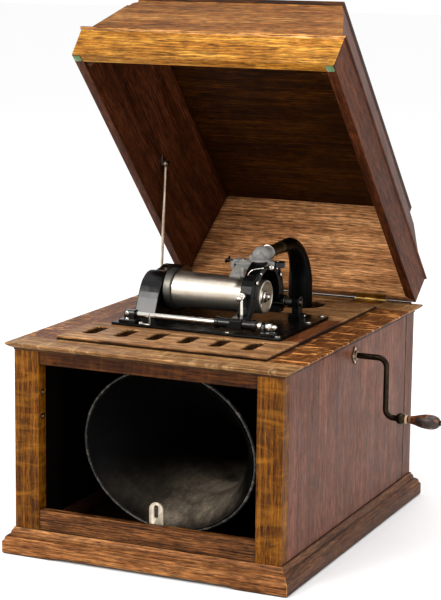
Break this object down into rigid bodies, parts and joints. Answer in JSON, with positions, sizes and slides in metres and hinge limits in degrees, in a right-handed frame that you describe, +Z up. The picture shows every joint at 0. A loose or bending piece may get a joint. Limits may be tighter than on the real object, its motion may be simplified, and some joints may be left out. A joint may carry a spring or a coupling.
{
  "type": "table-top cylinder phonograph",
  "caption": "Wooden table-top cylinder player with a hinged lid, a turning mandrel, a sliding carriage, a swinging internal horn and a side crank.",
  "frame": {"origin": "centre of the body's footprint, on the underside of the base", "axes": "+X to the crank side, +Y to the back, +Z up"},
  "size_m": [0.4161, 0.4778, 0.5805],
  "materials": {
    "oak": "waxed quarter-sawn oak",
    "lid_oak": "waxed oak",
    "inner_board": "dark stained",
    "japan": "black japan enamel",
    "nickel": "nickel plate",
    "brass": "aged brass",
    "steel": "plain steel",
    "grey_paint": "worn grey paint",
    "felt": "green felt",
    "grip_wood": "dark worn wood"
  },
  "bodies": {
    "cabinet": {"base_front": "oak", "base_back": "oak", "base_sides": "oak", "side_panels": "oak", "front_stiles": "oak", "rear_stiles": "oak", "top_rail": "oak", "bottom_rail": "oak", "top_board_front": "oak", "top_board_rear": "oak", "top_board_sides": "oak", "deck_front": "oak", "deck_sides": "oak", "deck_rear": "oak", "bottom_board": "inner_board", "back_panel": "inner_board", "bedplate": "japan", "gear_housing": "japan", "rod_brackets": "japan", "feed_post": "japan", "grille_catches": "nickel", "escutcheon": "nickel", "bed_screws": "nickel", "guide_rod": "nickel", "horn_keeper": "brass", "lid_hinge_lower": "brass", "motor_pillars": "brass", "motor_plates": "steel", "governor_brake": "steel"},
    "lid": {"lid_front": "lid_oak", "lid_back": "lid_oak", "lid_sides": "lid_oak", "lid_top": "lid_oak", "lid_corner_blocks": "lid_oak", "lid_pads": "felt", "lid_hinge_upper": "brass", "stay_bracket": "nickel"},
    "lid_stay": {"stay_rod": "nickel"},
    "carriage": {"carriage_frame": "japan", "carriage_bar": "grey_paint", "carriage_screws": "nickel", "gooseneck": "japan", "neck_sleeve": "brass"},
    "reproducer_head": {"reproducer": "steel"},
    "lift_arm": {"lift_lever": "nickel"},
    "start_stop": {"start_lever": "nickel"},
    "horn": {"horn_bell": "japan", "horn_elbow": "japan", "horn_strap": "steel"},
    "mandrel_drive": {"mandrel": "nickel", "mandrel_shaft": "nickel"},
    "feed_drive": {"feed_screw": "steel"},
    "idler": {"idler_gear": "brass"},
    "second": {"second_wheel": "brass"},
    "barrel": {"spring_barrel": "steel", "mainspring": "steel"},
    "winding": {"winding_arbor": "steel"},
    "governor_spindle": {"governor": "brass"},
    "crank_arm": {"crank": "nickel"},
    "grip": {"crank_grip": "grip_wood"}
  },
  "joints": [
    {"name": "lid_hinge", "type": "hinge", "parent": "cabinet", "child": "lid", "pos_m": [0, 0.2063, 0.2286], "axis": [1, 0, 0], "range_deg": [0, 45.9]},
    {"name": "stay_pivot", "type": "hinge", "parent": "lid", "child": "lid_stay", "pos_m": [-0.132, 0.11923, 0.38499], "axis": [1, 0, 0], "range_deg": [0, 16.2]},
    {"name": "carriage_slide", "type": "slide", "parent": "cabinet", "child": "carriage", "axis": [-1, 0, 0], "range_m": [0, 0.088]},
    {"name": "horn_pivot", "type": "hinge", "parent": "cabinet", "child": "horn", "pos_m": [0.006, -0.171, 0.024], "axis": [0, 0, 1], "range_deg": [0, 17.8]},
    {"name": "lift_lever_hinge", "type": "hinge", "parent": "carriage", "child": "lift_arm", "pos_m": [0.049, -0.0677, 0.273], "axis": [0, 1, 0], "range_deg": [0, 40]},
    {"name": "reproducer_lift", "type": "slide", "parent": "carriage", "child": "reproducer_head", "axis": [0, 0, 1], "range_m": [0, 0.003]},
    {"name": "start_lever_hinge", "type": "hinge", "parent": "cabinet", "child": "start_stop", "pos_m": [-0.062, -0.0836, 0.2364], "axis": [0, 0, 1], "range_deg": [-25, 0]},
    {"name": "mandrel_spin", "type": "hinge", "parent": "cabinet", "child": "mandrel_drive", "pos_m": [0, -0.0112, 0.2635], "axis": [1, 0, 0], "continuous": true},
    {"name": "feed_spin", "type": "hinge", "parent": "cabinet", "child": "feed_drive", "pos_m": [0, 0.02536, 0.25315], "axis": [1, 0, 0], "continuous": true},
    {"name": "idler_spin", "type": "hinge", "parent": "cabinet", "child": "idler", "pos_m": [-0.078, -0.01822, 0.2395], "axis": [1, 0, 0], "continuous": true},
    {"name": "second_spin", "type": "hinge", "parent": "cabinet", "child": "second", "pos_m": [0, -0.03143, 0.20175], "axis": [1, 0, 0], "continuous": true},
    {"name": "barrel_spin", "type": "hinge", "parent": "cabinet", "child": "barrel", "pos_m": [-0.02, 0.01779, 0.17613], "axis": [1, 0, 0], "continuous": true},
    {"name": "governor_spin", "type": "hinge", "parent": "cabinet", "child": "governor_spindle", "pos_m": [0, -0.05944, 0.19503], "axis": [1, 0, 0], "continuous": true},
    {"name": "crank_spin", "type": "hinge", "parent": "cabinet", "child": "crank_arm", "pos_m": [0.1525, -0.0012, 0.207], "axis": [1, 0, 0], "continuous": true},
    {"name": "winding_spin", "type": "hinge", "parent": "cabinet", "child": "winding", "pos_m": [0, 0.01779, 0.17613], "axis": [1, 0, 0], "continuous": true},
    {"name": "grip_spin", "type": "hinge", "parent": "crank_arm", "child": "grip", "pos_m": [0.232, -0.0012, 0.143], "axis": [1, 0, 0], "continuous": true}
  ],
  "couplings": [
    {"joint": "stay_pivot", "follows": "lid_hinge", "ratio": 0.3508},
    {"joint": "horn_pivot", "follows": "carriage_slide", "rad_per_m": 3.5106},
    {"joint": "reproducer_lift", "follows": "lift_lever_hinge", "m_per_rad": 0.004297},
    {"joint": "feed_spin", "follows": "mandrel_spin", "ratio": -0.35714},
    {"joint": "idler_spin", "follows": "mandrel_spin", "ratio": -0.66667},
    {"joint": "second_spin", "follows": "mandrel_spin", "ratio": 0.4},
    {"joint": "barrel_spin", "follows": "mandrel_spin", "ratio": -0.093333},
    {"joint": "governor_spin", "follows": "mandrel_spin", "ratio": -2},
    {"joint": "winding_spin", "follows": "crank_spin", "ratio": -0.45}
  ]
}
